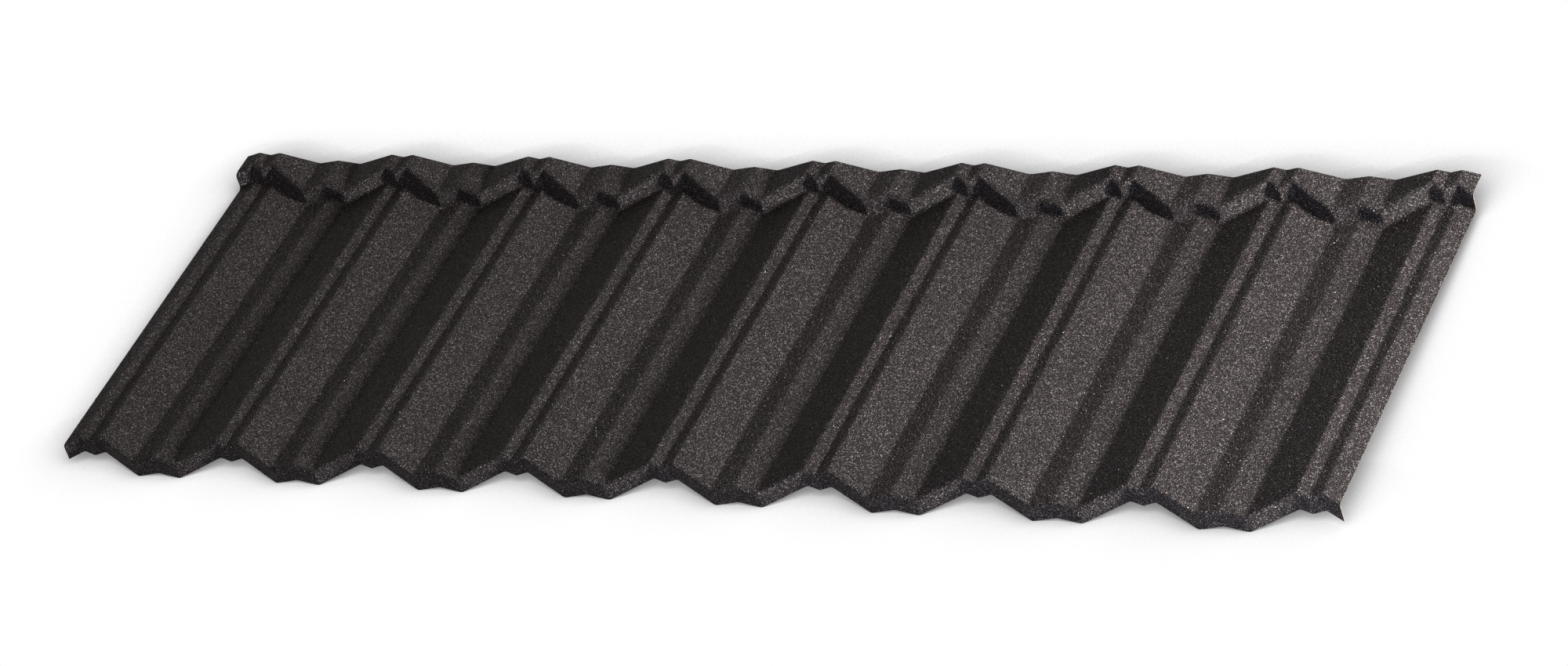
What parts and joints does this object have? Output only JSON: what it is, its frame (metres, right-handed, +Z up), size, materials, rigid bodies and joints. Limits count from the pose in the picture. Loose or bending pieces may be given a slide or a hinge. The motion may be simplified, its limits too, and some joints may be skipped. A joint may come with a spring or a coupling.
{
  "type": "tile effect metal roofing sheet",
  "caption": "Pressed steel roofing sheet with a stone chip coat, shaped as a row of roll tiles with a turned-down nose and a stepped rear flange.",
  "frame": {"origin": "on the floor under the middle of the sheet as it lies", "axes": "+Z up, tiles side by side along X, nose towards -Y and straight cut flange towards +Y"},
  "size_m": [1.3234, 0.4224, 0.0296],
  "materials": {
    "stone_chip_coat": "matt, nearly black stone chips bonded to zinc-alloy coated steel"
  },
  "bodies": {
    "root": {"roof_sheet": "stone_chip_coat"}
  },
  "joints": []
}
